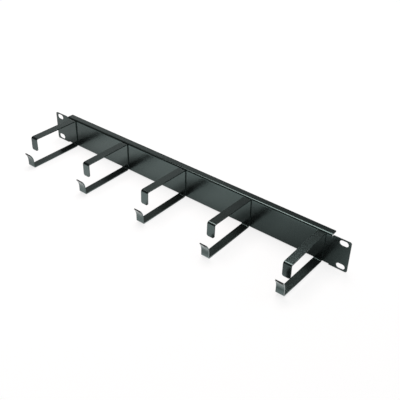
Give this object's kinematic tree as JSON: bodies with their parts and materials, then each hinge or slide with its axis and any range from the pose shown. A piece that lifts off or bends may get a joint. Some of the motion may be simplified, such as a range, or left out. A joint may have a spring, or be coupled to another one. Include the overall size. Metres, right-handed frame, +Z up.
{
  "type": "horizontal cable manager",
  "caption": "Rack-mount cable manager for one rack unit: a folded sheet steel front panel with bent strip brackets that hold patch cables in front of it.",
  "frame": {"origin": "middle of the pattern of four slots, on the rear face of the ears, which lies against the rack's rails", "axes": "+X along the panel to its right end as seen from the front, +Y to the rear of the rack, +Z up; the brackets reach forward along -Y"},
  "size_m": [0.4826, 0.0962, 0.0436],
  "materials": {
    "black_powder_coat": "semi-gloss black powder coat with a fine texture"
  },
  "bodies": {
    "root": {"panel": "black_powder_coat", "bracket_1": "black_powder_coat", "bracket_2": "black_powder_coat", "bracket_3": "black_powder_coat", "bracket_4": "black_powder_coat", "bracket_5": "black_powder_coat"}
  },
  "joints": []
}
